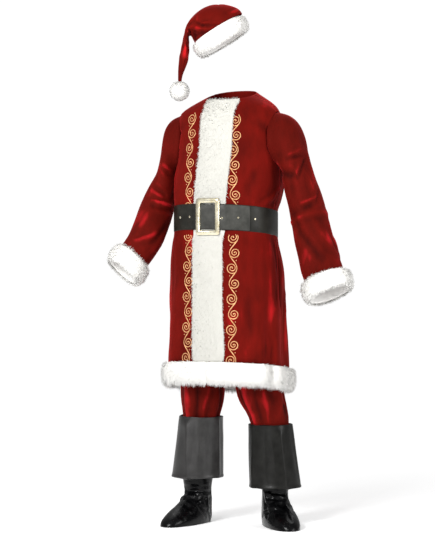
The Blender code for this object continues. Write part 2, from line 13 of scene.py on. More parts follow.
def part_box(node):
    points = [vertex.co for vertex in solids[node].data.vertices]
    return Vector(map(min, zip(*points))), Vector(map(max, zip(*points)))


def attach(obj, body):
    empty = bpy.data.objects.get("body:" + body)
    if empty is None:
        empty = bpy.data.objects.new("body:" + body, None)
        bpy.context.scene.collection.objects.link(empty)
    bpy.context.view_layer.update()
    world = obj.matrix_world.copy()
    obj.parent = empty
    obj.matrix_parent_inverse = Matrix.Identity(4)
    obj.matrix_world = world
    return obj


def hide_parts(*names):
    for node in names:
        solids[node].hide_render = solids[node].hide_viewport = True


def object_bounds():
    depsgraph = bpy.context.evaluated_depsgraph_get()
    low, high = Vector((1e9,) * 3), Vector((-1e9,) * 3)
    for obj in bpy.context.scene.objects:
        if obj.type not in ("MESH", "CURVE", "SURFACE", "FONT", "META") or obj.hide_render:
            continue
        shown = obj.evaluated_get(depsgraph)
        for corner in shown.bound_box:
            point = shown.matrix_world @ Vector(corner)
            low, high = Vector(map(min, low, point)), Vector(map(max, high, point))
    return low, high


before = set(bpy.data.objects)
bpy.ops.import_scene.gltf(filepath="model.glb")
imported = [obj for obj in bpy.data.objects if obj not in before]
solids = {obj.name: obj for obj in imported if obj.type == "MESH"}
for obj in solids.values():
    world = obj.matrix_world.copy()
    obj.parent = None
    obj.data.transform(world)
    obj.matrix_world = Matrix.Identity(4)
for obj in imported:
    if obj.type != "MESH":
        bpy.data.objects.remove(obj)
cad_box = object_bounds()

# Places, in metres; heights are above the soles and the frame's origin is HOLD_HEIGHT above them
HOLD_HEIGHT = 1.46
BELT_LOW = 1.016
BELT_HIGH = 1.104
PLACKET_HALF = 0.0585

# Camera: it stands level, turned to the wearer's left of the front
CAMERA_TURN = math.radians(24)
CAMERA_FAR = 7.0
CAMERA_AIM_ACROSS = -0.033
CAMERA_AIM_UP = -0.56
CAMERA_SENSOR = 36.0
FRAME_HEIGHT = 1.853        # metres that the photo's height takes in at the suit
PHOTO_WIDTH = 435
PHOTO_HEIGHT = 537

EXPOSURE = -0.25            # stops
ROOM_WHITE = 1.22           # how bright the room looks
ROOM_LIGHT = 0.42           # how much the room lights the suit
FLOOR_FADE = 2.4            # metres from the suit to where the floor is as white as the room

UP = Vector((0, 0, 1))
DOWN = (0, 0, -1)
CAMERA_ACROSS = Vector((math.cos(CAMERA_TURN), math.sin(CAMERA_TURN), 0))
CAMERA_AHEAD = Vector((-math.sin(CAMERA_TURN), math.cos(CAMERA_TURN), 0))
CAMERA_PLACE = CAMERA_ACROSS * CAMERA_AIM_ACROSS + UP * CAMERA_AIM_UP - CAMERA_AHEAD * CAMERA_FAR
SHARP = math.radians(50)
FAR_OFF = 1e9


# Materials

def principled(name, color, roughness, metallic=0.0, **sockets):
    """A material whose constant values sit on the shader's own sockets."""
    material = bpy.data.materials.new(name)
    material.use_nodes = True
    shader = material.node_tree.nodes["Principled BSDF"]
    shader.inputs["Base Color"].default_value = (*color, 1)
    shader.inputs["Roughness"].default_value = roughness
    shader.inputs["Metallic"].default_value = metallic
    for socket, value in sockets.items():
        shader.inputs[socket.replace("_", " ")].default_value = value
    return material


class Graph:
    """Short calls for a material's nodes."""

    def __init__(self, material):
        self.tree = material.node_tree
        self.shader = self.tree.nodes["Principled BSDF"]
        self.place = self.tree.nodes.new("ShaderNodeTexCoord").outputs["Object"]

    def add(self, kind, links=(), **values):
        node = self.tree.nodes.new(kind)
        for key, value in values.items():
            setattr(node, key, value)
        for socket, value in dict(links).items():
            if isinstance(value, bpy.types.NodeSocket):
                self.tree.links.new(value, node.inputs[socket])
            else:
                node.inputs[socket].default_value = value
        return node

    def noise(self, scale, detail=2.0, stretch=(1, 1, 1), roughness=0.5, distortion=0.0):
        spread = self.add("ShaderNodeMapping", {"Vector": self.place, "Scale": stretch})
        made = self.add("ShaderNodeTexNoise", {
            "Vector": spread.outputs[0], "Scale": scale, "Detail": detail,
            "Roughness": roughness, "Distortion": distortion,
        })
        return made.outputs["Fac"]

    def voronoi(self, scale):
        return self.add("ShaderNodeTexVoronoi", {"Vector": self.place, "Scale": scale}).outputs["Distance"]

    def math(self, operation, first, second=0.5, third=0.5):
        return self.add("ShaderNodeMath", {0: first, 1: second, 2: third}, operation=operation).outputs[0]

    def ramp(self, value, *stops):
        """Colours along a value: each stop is (position, colour)."""
        made = self.add("ShaderNodeValToRGB", {"Fac": value})
        stops_of = made.color_ramp.elements
        while len(stops_of) < len(stops):
            stops_of.new(0.5)
        for element, (position, color) in zip(stops_of, stops):
            element.position = position
            element.color = (*color, 1)
        return made.outputs["Color"]

    def attribute(self, name):
        return self.add("ShaderNodeAttribute", attribute_name=name).outputs["Fac"]

    def bump(self, *layers):
        """Bump layers on each other: each is (height, distance in metres, strength)."""
        normal = None
        for height, distance, strength in layers:
            made = self.add("ShaderNodeBump", {"Height": height, "Distance": distance, "Strength": strength})
            if normal is not None:
                self.tree.links.new(normal, made.inputs["Normal"])
            normal = made.outputs["Normal"]
        self.tree.links.new(normal, self.shader.inputs["Normal"])

    def set(self, socket, value):
        self.tree.links.new(value, self.shader.inputs[socket])


def make_velvet(name="velvet", deep=1.0):
    """Dark red velvet: short pile, patches where the nap lies the other way, a painted highlight on the folds'
    crests and painted shade in their troughs.

    deep is under 1 for a darker copy of the velvet: painted shade on the sleeves and the trousers.
    """
    material = principled(
        name, (0.14 * deep, 0.004, 0.003), 0.85, Sheen_Weight=0.48 * deep, Sheen_Roughness=0.35,
        Sheen_Tint=(1.0, 0.05, 0.05, 1), Specular_IOR_Level=0.06,
    )
    graph = Graph(material)
    nap = graph.noise(9, detail=3, stretch=(1, 1, 0.5), roughness=0.5, distortion=0.4)
    streak = graph.noise(60, detail=3, stretch=(1, 1, 0.35))
    # The stored fold height paints a highlight on crests and shade in troughs
    fold = graph.attribute("fold")
    mixed = graph.math("MULTIPLY_ADD", streak, 0.25, graph.math("MULTIPLY", nap, 0.75))
    shade = graph.math("ADD", mixed, graph.math("MULTIPLY", fold, 0.30))
    graph.set("Base Color", graph.ramp(
        shade, (0.15, (0.043 * deep, 0.0018, 0.0010)), (0.42, (0.105 * deep, 0.0034, 0.0015)),
        (0.60, (0.141 * deep, 0.0040, 0.0020)), (0.86, (0.48 * deep, 0.0090, 0.0120)),
    ))
    graph.set("Roughness", graph.math("MULTIPLY_ADD", nap, -0.25, 0.95))
    graph.bump((graph.noise(900, detail=2), 0.0004, 0.5), (graph.noise(120, detail=3), 0.0008, 0.25))
    return material


def make_plush(name, dark, light):
    """White plush: the backing between its locks."""
    material = principled(name, light, 0.95, Sheen_Weight=0.3, Specular_IOR_Level=0.1)
    graph = Graph(material)
    clump = graph.noise(90, detail=3)
    graph.set("Base Color", graph.ramp(clump, (0.3, dark), (0.7, light)))
    graph.bump((graph.noise(400, detail=3), 0.002, 0.6))
    return material


def make_locks(name, dark, light):
    """White plush: the locks of pile, in clumps of slightly different tone."""
    material = principled(name, light, 0.8, Sheen_Weight=0.3, Specular_IOR_Level=0.15)
    graph = Graph(material)
    clump = graph.noise(60, detail=3)
    graph.set("Base Color", graph.ramp(clump, (0.3, dark), (0.7, light)))
    graph.bump((graph.noise(1500, detail=1), 0.0003, 0.3))
    return material


def make_leatherette(name, roughness, color, wrinkle, gloss, scuffed=2.2):
    """Black coated cloth: fine grain, scuffs where it is rubbed, soft gloss."""
    material = principled(
        name, color, roughness, Specular_IOR_Level=gloss, Coat_Weight=0.05, Coat_Roughness=0.25)
    graph = Graph(material)
    grain = graph.voronoi(900)
    scuff = graph.noise(28, detail=5, roughness=0.65)
    lighter = tuple(c * scuffed + 0.004 for c in color)
    graph.set("Base Color", graph.ramp(scuff, (0.35, color), (0.75, lighter)))
    graph.set("Roughness", graph.math("MULTIPLY_ADD", scuff, 0.25, roughness - 0.1))
    graph.bump((grain, 0.0003, 0.35), (graph.noise(45, detail=4, distortion=0.6), 0.0015, wrinkle))
    return material


def make_metal():
    """Pale gold plated metal with faint brushing."""
    material = principled("buckle_metal", (0.80, 0.70, 0.46), 0.22, 1.0)
    graph = Graph(material)
    wear = graph.noise(60, detail=4)
    graph.set("Base Color", graph.ramp(wear, (0.3, (0.86, 0.76, 0.50)), (0.7, (0.96, 0.92, 0.76))))
    graph.set("Roughness", graph.math("MULTIPLY_ADD", wear, 0.2, 0.12))
    graph.bump((graph.noise(500, detail=2, stretch=(1, 1, 0.2)), 0.0002, 0.2))
    return material


def make_thread():
    """Pinkish gold metallic thread, wound in close turns."""
    material = principled("gold_thread", (0.58, 0.30, 0.12), 0.5, 0.35)
    graph = Graph(material)
    turns = graph.noise(1400, detail=1, stretch=(1, 1, 3))
    tone = graph.noise(80, detail=2)
    graph.set("Base Color", graph.ramp(tone, (0.3, (0.56, 0.28, 0.11)), (0.7, (0.80, 0.45, 0.21))))
    graph.bump((turns, 0.0004, 0.6))
    return material


def make_floor():
    """Pale studio floor that fades into the white room away from the suit."""
    material = principled("studio_floor", (0.90, 0.90, 0.90), 0.9, Specular_IOR_Level=0.0)
    graph = Graph(material)
    flat = (1 / FLOOR_FADE, 1 / FLOOR_FADE, 0)
    spread = graph.add("ShaderNodeMapping", {"Vector": graph.place, "Scale": flat})
    gradient = graph.add("ShaderNodeTexGradient", {"Vector": spread.outputs[0]}, gradient_type="SPHERICAL")
    near = graph.ramp(gradient.outputs["Fac"], (0.0, (0, 0, 0)), (0.75, (0.92, 0.92, 0.92)))
    graph.set("Base Color", near)
    far = graph.ramp(gradient.outputs["Fac"], (0.0, (1, 1, 1)), (0.75, (0.32, 0.32, 0.32)))
    graph.set("Emission Color", far)
    graph.shader.inputs["Emission Strength"].default_value = ROOM_WHITE
    return material


VELVET = make_velvet()
# A darker copy of the velvet: painted shade for the sleeves and the trousers
SHADED_VELVET = make_velvet("shaded_velvet", 0.80)
PLUSH = make_plush("plush", (0.80, 0.79, 0.765), (0.86, 0.85, 0.825))
LOCKS = make_locks("plush_locks", (0.81, 0.80, 0.775), (0.87, 0.86, 0.835))
# The placket's plush is a little creamier than the other plush, and darker too: painted shade that offsets the
# stronger light on its front
PLACKET_PLUSH = make_plush("placket_plush", (0.56, 0.552, 0.512), (0.60, 0.593, 0.555))
PLACKET_LOCKS = make_locks("placket_locks", (0.57, 0.562, 0.522), (0.61, 0.603, 0.565))
BELT_LEATHERETTE = make_leatherette(
    "belt_leatherette", 0.44, (0.0090, 0.0088, 0.0066), wrinkle=0.1, gloss=0.20)
END_LEATHERETTE = make_leatherette(
    "belt_end_leatherette", 0.50, (0.028, 0.028, 0.0245), wrinkle=0.1, gloss=0.22)
CUFF_LEATHERETTE = make_leatherette(
    "cuff_leatherette", 0.36, (0.014, 0.0132, 0.0128), wrinkle=0.12, gloss=0.40, scuffed=1.7)
SHADED_CUFF_LEATHERETTE = make_leatherette(
    "shaded_cuff_leatherette", 0.36, (0.0045, 0.0044, 0.0036), wrinkle=0.12, gloss=0.16, scuffed=1.7)
BOOT_LEATHERETTE = make_leatherette(
    "boot_leatherette", 0.20, (0.0006, 0.0006, 0.0008), wrinkle=0.40, gloss=0.13)
METAL = make_metal()
THREAD = make_thread()


# Mesh helpers

def linked(name, data):
    """A new object in the scene."""
    made = bpy.data.objects.new(name, data)
    bpy.context.collection.objects.link(made)
    return made


def welded(node):
    """The node's mesh as quads, with sharp edges kept."""
    mesh = bmesh.new()
    mesh.from_mesh(solids[node].data)
    bmesh.ops.remove_doubles(mesh, verts=mesh.verts, dist=0.00001)
    bmesh.ops.join_triangles(
        mesh, faces=mesh.faces, angle_face_threshold=math.radians(40), angle_shape_threshold=math.radians(80)
    )
    return mesh


def sharp_edges(mesh):
    return [edge for edge in mesh.edges if len(edge.link_faces) == 2 and edge.calc_face_angle() > SHARP]


def subdivided(node, kind, levels, keep_edges=1.0):
    """A new mesh, the node's smoothed by so many levels; keep_edges holds the wall's rims sharp."""
    mesh = welded(node)
    held = mesh.edges.layers.float.new("crease_edge")
    for edge in sharp_edges(mesh):
        edge[held] = keep_edges
    name = f"{node}_{kind}"
    data = bpy.data.meshes.new(name + "_cage")
    mesh.to_mesh(data)
    mesh.free()
    cage = linked(name + "_cage", data)
    smooth = cage.modifiers.new("smooth", "SUBSURF")
    smooth.levels = levels
    smooth.render_levels = levels
    graph = bpy.context.evaluated_depsgraph_get()
    made = bpy.data.meshes.new_from_object(cage.evaluated_get(graph))
    made.name = name
    bpy.data.objects.remove(cage)
    bpy.data.meshes.remove(data)
    return made


def coordinates(data):
    """A mesh's vertices as an array."""
    points = np.empty(len(data.vertices) * 3)
    data.vertices.foreach_get("co", points)
    return points.reshape(-1, 3)


def move_to(data, points):
    """Puts a mesh's vertices at these places."""
    data.vertices.foreach_set("co", points.ravel())
    data.update()


def unit(vectors, least=0.0):
    """Each row as a way of length 1; rows shorter than least stay shorter than that."""
    return vectors / np.maximum(np.linalg.norm(vectors, axis=1, keepdims=True), least)


def placed(name, data, material, slot, *nodes):
    """An object for the mesh, in the root body, standing for the named nodes."""
    piece = linked(name, data)
    data.materials.clear()
    data.materials.append(material)
    data.shade_smooth()
    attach(piece, "root")
    if nodes:
        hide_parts(*nodes)
    return piece


def surface_tree(*objects):
    """A search tree for the faces of several mesh objects together."""
    points, faces = [], []
    for piece in objects:
        start = len(points)
        points += [v.co.copy() for v in piece.data.vertices]
        faces += [[start + i for i in p.vertices] for p in piece.data.polygons]
    return BVHTree.FromPolygons(points, faces)


def normals_of(data):
    """A mesh's vertex normals as an array."""
    normals = np.empty(len(data.vertices) * 3)
    data.vertex_normals.foreach_get("vector", normals)
    return normals.reshape(-1, 3)


def outward(data, out):
    """Each point's normal, turned to the wall's outer side."""
    normals = normals_of(data)
    return normals * np.sign((normals * out).sum(axis=1, keepdims=True) + 1e-9)


# Unrolled places on a piece: angle round it, distance along it, and the way out of it

COAT_HEIGHTS = (0.49, 1.06, 1.25, 1.49)
COAT_MIDDLES = (0.0, -0.005, 0.013, 0.017)      # how far to the wearer's left the coat's middle is there


def round_coat(points):
    """Angle from the front centre, positive to the wearer's left, and height above the soles."""
    height = points[:, 2] + HOLD_HEIGHT
    across = points[:, 0] - np.interp(height, COAT_HEIGHTS, COAT_MIDDLES)
    out = unit(np.stack([across, points[:, 1], np.zeros(len(points))], axis=1))
    return np.arctan2(across, -points[:, 1]), height, out


Nearest = namedtuple("Nearest", "far along offset way length")


def nearest_on_line(points, line, endless):
    """Where a line is nearest to each point; an endless one goes on past both ends. length is the line's."""
    steps = np.diff(line, axis=0)
    lengths = np.linalg.norm(steps, axis=1)
    starts = np.concatenate([[0], np.cumsum(lengths)])
    best = np.full(len(points), FAR_OFF)
    along = np.zeros(len(points))
    offset = np.zeros((len(points), 3))
    way = np.zeros((len(points), 3))
    for k, step in enumerate(steps):
        low = -FAR_OFF if endless and k == 0 else 0.0
        high = FAR_OFF if endless and k == len(steps) - 1 else 1.0
        share = np.clip((points - line[k]) @ step / lengths[k] ** 2, low, high)
        away = points - line[k] - share[:, None] * step
        far = np.linalg.norm(away, axis=1)
        near = far < best
        best[near] = far[near]
        along[near] = starts[k] + share[near] * lengths[k]
        offset[near] = away[near]
        way[near] = step / lengths[k]
    return Nearest(best, along, offset, way, starts[-1])


def round_line(line):
    """A function that gives each point's angle round a line, its distance along it and the way out."""
    line = np.array(line, float)
    front = np.array((0.0, -1.0, 0.0))

    def place(points):
        nearest = nearest_on_line(points, line, endless=True)
        way = nearest.way
        out = unit(nearest.offset, 1e-6)
        ahead = unit(front - (way @ front)[:, None] * way)
        side = np.cross(way, ahead)
        angle = np.arctan2((out * side).sum(axis=1), (out * ahead).sum(axis=1))
        return angle, nearest.along, out

    return place


# Creases

FULL_FOLD = 0.006           # metres of fold at which the velvet's painted highlight on a crest is brightest
Crease = namedtuple("Crease", "angle along to_angle to_along width depth")      # ends in degrees and metres
Fold = namedtuple("Fold", "from_x from_y to_x to_y width depth")                # ends in photo pixels


def creases_of(*rows, kind=Crease):
    """Rows in the named order, with their widths and depths turned from millimetres into metres."""
    return [kind(*row[:4], row[4] / 1000, row[5] / 1000) for row in rows]


def folds_of(*rows):
    return creases_of(*rows, kind=Fold)


def drift(across, along, size, seed):
    """Smooth unevenness from -1 to 1, about so many metres from crest to crest."""
    pick = np.random.default_rng(seed)
    total = np.zeros(len(across))
    for _ in range(6):
        turn = pick.uniform(0, 2 * math.pi)
        rate = 2 * math.pi / (size * pick.uniform(0.7, 1.5))
        place = across * math.cos(turn) + along * math.sin(turn)
        total += np.sin(rate * place + pick.uniform(0, 2 * math.pi))
    return total / 3.5


def crease_depth(angle, along, radius, creases, wobble, seed):
    """How far the creases move each point out; a crease is a soft ridge (or trough) with lower sides."""
    across = angle * radius
    round_it = 2 * math.pi * radius
    shift = wobble * drift(across, along, 0.09, seed)
    total = np.zeros(len(angle))
    for crease in creases:
        start = math.radians(crease.angle) * radius
        run = math.radians(crease.to_angle - crease.angle) * radius
        rise = crease.to_along - crease.along
        aside = (across + shift - start + round_it / 2) % round_it - round_it / 2
        beyond = along + shift * 0.5 - crease.along
        share = np.clip((aside * run + beyond * rise) / (run * run + rise * rise), 0, 1)
        far = np.hypot(aside - share * run, beyond - share * rise) / crease.width
        taper = 0.25 + 0.75 * np.sin(math.pi * (0.08 + 0.84 * share))
        total += crease.depth * taper * (np.exp(-far ** 2) - 0.38 * np.exp(-((far - 1.9) / 0.9) ** 2))
    return total


def sight(pixel_x, pixel_y):
    """The way the camera looks through a pixel of the photo."""
    scale = FRAME_HEIGHT / PHOTO_HEIGHT
    aside = CAMERA_ACROSS * (pixel_x - PHOTO_WIDTH / 2) * scale
    upward = UP * (PHOTO_HEIGHT / 2 - pixel_y) * scale
    return (CAMERA_AHEAD * CAMERA_FAR + aside + upward).normalized()


def fold_line(tree, fold):
    """A fold's line on the surface that the camera sees there."""
    line = []
    run, rise = fold.to_x - fold.from_x, fold.to_y - fold.from_y
    for share in np.linspace(0, 1, 7):
        way = sight(fold.from_x + run * share, fold.from_y + rise * share)
        place = tree.ray_cast(CAMERA_PLACE, way)[0]
        if place is not None:
            line.append(np.array(place))
    return line


def fold_depth(points, tree, folds, seed, sharp):
    """How far the folds that the photo shows move each point out; sharp ones are pressed edges."""
    total = np.zeros(len(points))
    shift = 0.0016 * drift(points[:, 0] + points[:, 1], points[:, 2], 0.05, seed)
    for fold in folds:
        nearest = nearest_on_line(points, fold_line(tree, fold), endless=False)
        far = np.maximum(nearest.far + shift, 0) / fold.width
        if sharp:
            total += fold.depth * np.exp(-far)
        else:
            taper = 0.35 + 0.65 * np.sin(math.pi * (0.05 + 0.90 * nearest.along / nearest.length))
            total += fold.depth * taper * (np.exp(-far ** 2) - 0.30 * np.exp(-((far - 1.9) / 0.8) ** 2))
    return total


def crease_cloth(data, place, radius, creases, seed, wobble=0.006, uneven=0.0015, keep=None, tree=None,
                 folds=(), by_normal=False, sharp=False):
    """Moves a wall's points by its creases, both faces alike, and stores their height for the velvet's painted
    highlight on crests and painted shade in troughs.
    """
    points = coordinates(data)
    angle, along, out = place(points)
    if by_normal:
        out = outward(data, out)
    depth = crease_depth(angle, along, radius, creases, wobble, seed)
    depth += uneven * drift(angle * radius, along, 0.11, seed + 50)
    if folds:
        depth += fold_depth(points, tree, folds, seed, sharp)
    if keep is not None:
        depth *= keep(angle, along)
    # Fold height that the velvet turns into a painted highlight on crests and painted shade in troughs
    fold = data.attributes.new("fold", "FLOAT", "POINT")
    fold.data.foreach_set("value", np.clip(depth / FULL_FOLD, -1, 1))
    move_to(data, points + out * depth[:, None])


# Coat

BELT_FADE = (-0.004, 0.030)         # metres from the belt where creases start and are whole
PLACKET_FADE = (17, 26)             # degrees from the front's middle
HEM_FADE = (0.545, 0.600)           # heights
NECK_FADE = (1.440, 1.475)          # heights


def ease(value, low, high):
    """From 0 at low to 1 at high, with soft ends."""
    share = np.clip((value - low) / (high - low), 0, 1)
    return share * share * (3 - 2 * share)


def coat_keep(angle, height):
    """Creases fade under the belt, at the neck and under the placket and the hem band."""
    from_belt = ease(np.maximum(BELT_LOW - height, height - BELT_HIGH), *BELT_FADE)
    from_placket = ease(np.abs(np.degrees(angle)), *PLACKET_FADE)
    from_hem = ease(height, *HEM_FADE)
    from_neck = 1 - ease(height, *NECK_FADE)
    return from_belt * (0.15 + 0.85 * from_placket) * (0.2 + 0.8 * from_hem) * from_neck


COAT_FOLDS = folds_of(
    (259, 209, 273, 196, 9, 5), (268, 205, 280, 186, 8, 4), (264, 211, 283, 196, 7, -3),
    (284, 162, 283, 192, 11, -6), (246, 196, 256, 172, 14, -3), (285, 292, 285, 350, 9, 5),
    (277, 282, 277, 303, 6, -4), (273, 343, 271, 362, 6, -4), (266, 341, 266, 356, 6, -3),
    (249, 300, 249, 336, 13, -3), (280, 245, 282, 286, 10, 4), (269, 244, 271, 330, 12, 3),
    (256, 243, 258, 300, 14, -2), (168, 200, 176, 188, 10, 4), (174, 246, 173, 300, 10, -2),
    (258, 122, 278, 132, 14, -3),
)
COAT_CREASES = creases_of(
    (84, 1.33, 58, 1.39, 16, -3), (-84, 1.33, -54, 1.4, 16, -3), (84, 1.004, 90, 0.78, 12, -5),
    (-78, 1.118, -70, 1.25, 10, 4), (-72, 1.003, -76, 0.76, 13, 4), (110, 1.112, 124, 1.26, 12, 5),
    (140, 1.112, 134, 1.21, 10, -4), (168, 1.114, 158, 1.3, 14, 5), (-160, 1.112, -148, 1.24, 11, -5),
    (-126, 1.114, -138, 1.29, 13, 5), (118, 1.003, 112, 0.79, 12, 4), (150, 1.003, 158, 0.72, 14, -5),
    (-168, 1.003, -160, 0.82, 12, 4), (-132, 1.003, -140, 0.74, 13, -5), (-100, 1.003, -96, 0.8, 12, 4),
)

# Each sleeve's middle line, from the shoulder to the wrist
LEFT_ARM = ((0.218, 0.0, -0.125), (0.2565, 0.0, -0.2235), (0.2935, 0.006, -0.3515),
            (0.336, -0.014, -0.4965), (0.374, -0.036, -0.591))
RIGHT_ARM = ((-0.1905, 0.0, -0.1245), (-0.217, 0.0, -0.225), (-0.2545, -0.014, -0.3325),
             (-0.2665, -0.080, -0.4465), (-0.2965, -0.130, -0.523))
LEFT_FOLDS = folds_of(
    (297, 128, 300, 152, 12, 3), (286, 159, 304, 154, 6, -5), (289, 154, 304, 148, 6, 3),
    (306, 156, 298, 178, 5, -4), (301, 160, 294, 180, 6, 3), (301, 203, 317, 196, 6, 5),
    (302, 208, 318, 202, 7, -4), (316, 204, 319, 190, 5, -3), (292, 213, 300, 233, 13, -5),
    (300, 233, 321, 259, 13, -5), (310, 215, 330, 245, 14, 3), (290, 178, 294, 200, 10, -3),
    (308, 170, 312, 188, 9, 3), (328, 228, 340, 256, 9, -3),
)
RIGHT_FOLDS = folds_of(
    (152, 200, 172, 206, 6, 6), (152, 205, 172, 212, 8, -5), (163, 164, 173, 172, 6, 3),
    (162, 169, 173, 178, 6, -3), (135, 240, 158, 233, 7, 4), (137, 246, 158, 240, 8, -3),
    (173, 219, 149, 249, 12, -5), (170, 125, 172, 155, 12, 3), (154, 186, 165, 194, 7, -4),
    (151, 190, 162, 197, 6, 3), (150, 212, 137, 232, 10, 3), (178, 180, 172, 200, 9, -3),
)
LEFT_CREASES = creases_of(
    (-100, 0.08, -60, 0.2, 14, 4), (150, 0.22, 120, 0.3, 12, 5), (-150, 0.24, -110, 0.36, 13, -5),
    (170, 0.34, 150, 0.47, 13, 5), (160, 0.07, -170, 0.18, 13, -5), (-130, 0.25, -170, 0.27, 10, -5),
    (-120, 0.275, 180, 0.29, 10, 4), (-100, 0.38, -140, 0.47, 12, 4),
)
RIGHT_CREASES = creases_of(
    (130, 0.07, 110, 0.17, 14, 4), (-110, 0.06, -130, 0.15, 14, -5), (160, 0.2, 120, 0.3, 12, 5),
    (-150, 0.22, -120, 0.33, 13, -5), (-170, 0.31, -150, 0.42, 13, 5), (120, 0.23, 170, 0.25, 10, -5),
    (110, 0.25, 160, 0.275, 10, 4), (120, 0.33, 150, 0.43, 12, 4),
)


COAT_RADIUS = 0.185
SLEEVE_RADIUS = 0.062
SEAM_BAND = 0.012           # metres from the sleeve's start that count as its armhole seam


def sleeve_keep(length):
    """Creases fade at the armhole seam and under the cuff."""
    def keep(angle, along):
        return ease(along, -0.02, 0.06) * (1 - ease(along, length - 0.05, length))
    return keep


def fill_seam(pieces, seam, reach=0.050, blur=0.014, rounds=4):
    """Fills the groove at a seam: points there move out to the level of the cloth on both its sides."""
    outer_points, outer_ways, owners = [], [], []
    for data, out in pieces:
        points = coordinates(data)
        distance = np.sqrt(((points[:, None, :] - seam[None, ::3, :]) ** 2).sum(axis=2)).min(axis=1)
        outer = ((normals_of(data) * out).sum(axis=1) > 0.15) & (distance < reach)
        owners.append((points, distance, outer))
        outer_points.append(points[outer])
        outer_ways.append(outward(data, out)[outer])
    together = np.concatenate(outer_points)
    ways = np.concatenate(outer_ways)
    fade = 1 - ease(np.concatenate([distance[outer] for _, distance, outer in owners]), reach * 0.35, reach)
    moved = together.copy()
    for _ in range(rounds):
        gaps = ((moved[:, None, :] - moved[None, :, :]) ** 2).sum(axis=2)
        weights = np.exp(-gaps / blur ** 2)
        weights /= weights.sum(axis=1, keepdims=True)
        level = weights @ moved
        way = unit(weights @ ways)
        rise = np.maximum(((level - moved) * way).sum(axis=1), 0) * fade
        moved += way * rise[:, None]
    shift = moved - together
    first = 0
    for (data, _), (points, distance, outer) in zip(pieces, owners):
        count = outer.sum()
        own, own_shift = together[first:first + count], shift[first:first + count]
        first += count
        near = np.flatnonzero(distance < reach)
        gaps = ((points[near][:, None, :] - own[None, :, :]) ** 2).sum(axis=2)
        points[near] += own_shift[gaps.argmin(axis=1)]
        move_to(data, points)


def make_coat():
    """The velvet fronts, back and sleeves."""
    shells = {}
    panels = ("coat_front_left", "coat_front_right", "coat_back")
    seen = surface_tree(*(solids[node] for node in panels))
    for node in panels:
        data = subdivided(node, "velvet", 2)
        crease_cloth(data, round_coat, COAT_RADIUS, COAT_CREASES, seed=3, keep=coat_keep,
                     tree=seen, folds=COAT_FOLDS)
        shells[node] = data
    for node, line, creases, folds in (("sleeve_left", LEFT_ARM, LEFT_CREASES, LEFT_FOLDS),
                                       ("sleeve_right", RIGHT_ARM, RIGHT_CREASES, RIGHT_FOLDS)):
        length = sum((Vector(b) - Vector(a)).length for a, b in zip(line, line[1:]))
        data = subdivided(node, "velvet", 3)
        place = round_line(line)
        crease_cloth(data, place, SLEEVE_RADIUS, creases, seed=7, keep=sleeve_keep(length),
                     tree=surface_tree(solids[node]), folds=folds)
        shells[node] = data
        cage = coordinates(solids[node].data)
        seam = cage[place(cage)[1] < SEAM_BAND]
        neighbours = [shells[node.replace("sleeve", "coat_front")], shells["coat_back"]]
        fill_seam([(data, place(coordinates(data))[2])]
                  + [(panel, round_coat(coordinates(panel))[2]) for panel in neighbours], seam)
    made = {}
    for node, data in shells.items():
        # The sleeves take the darker velvet copy: painted shade
        finish = SHADED_VELVET if node.startswith("sleeve") else VELVET
        made[node] = placed(node + "_velvet", data, finish, "velvet", node)
    return made


# Scroll of gold thread beside the placket

Knot = namedtuple("Knot", "curl height")       # heights of some curls, counted up from the one under the belt
SCROLL_KNOTS = (Knot(-9, 0.5463), Knot(0, 1.0125), Knot(2, 1.1108), Knot(10, 1.5132))
SCROLL_FIRST = -8.4
SCROLL_LAST = 8.4
BandPlace = namedtuple("BandPlace", "side under_belt over_belt")
SCROLL_BANDS = (BandPlace("left", -0.0075, -0.0120), BandPlace("right", 0.0, 0.0))
SCROLL_FROM_PLACKET = 0.0255
STEM_SWING = 0.013
STEM_STEPS = 430
CURL_STEPS = 64
CURL_SHARE = 0.93           # how much of the way to its middle a curl winds
THREAD_RISE = 0.0009
Curl = namedtuple("Curl", "side across reach turns dot_across")
CURLS = (
    Curl(-1, -0.004, 0.0190, 1.85, -0.0115),
    Curl(1, 0.005, 0.0170, 1.75, 0.0105),
)


def scroll_lines(band):
    """The running scroll on a flat band: lines of (across, height, width) from the hem to the neck."""
    numbers = [knot.curl for knot in SCROLL_KNOTS]
    heights = [knot.height + (band.under_belt if knot.curl < 1 else band.over_belt) for knot in SCROLL_KNOTS]

    def height_of(number):
        return np.interp(number, numbers, heights)

    count = np.linspace(SCROLL_FIRST, SCROLL_LAST, STEM_STEPS)
    swing = np.cos(math.pi * count)
    lines = [np.stack([STEM_SWING * swing, height_of(count), 0.0034 - 0.0010 * swing ** 2], axis=1)]
    for number in range(math.ceil(SCROLL_FIRST), math.floor(SCROLL_LAST) + 1):
        curl = CURLS[number % 2]
        share = np.linspace(0, CURL_SHARE, CURL_STEPS)
        turn = math.radians(-45) - share / CURL_SHARE * curl.turns * 2 * math.pi
        radius = curl.reach * (1 - share) ** 0.9
        across = curl.across - curl.side * radius * np.cos(turn)
        rise = height_of(number) + radius * np.sin(turn)
        lines.append(np.stack([across, rise, 0.0030 - 0.0008 * share], axis=1))
        for dot_across, dot_rise, dot in ((across[-1], rise[-1], 0.0046),
                                          (curl.dot_across, height_of(number - 0.5), 0.0034)):
            ends = np.array((-0.5, -0.25, 0, 0.25, 0.5)) * dot
            round_off = dot * np.sqrt(np.maximum(0.08, 1 - (2 * ends / dot) ** 2))
            lines.append(np.stack([np.full(5, dot_across), dot_rise + ends, round_off], axis=1))
    return lines


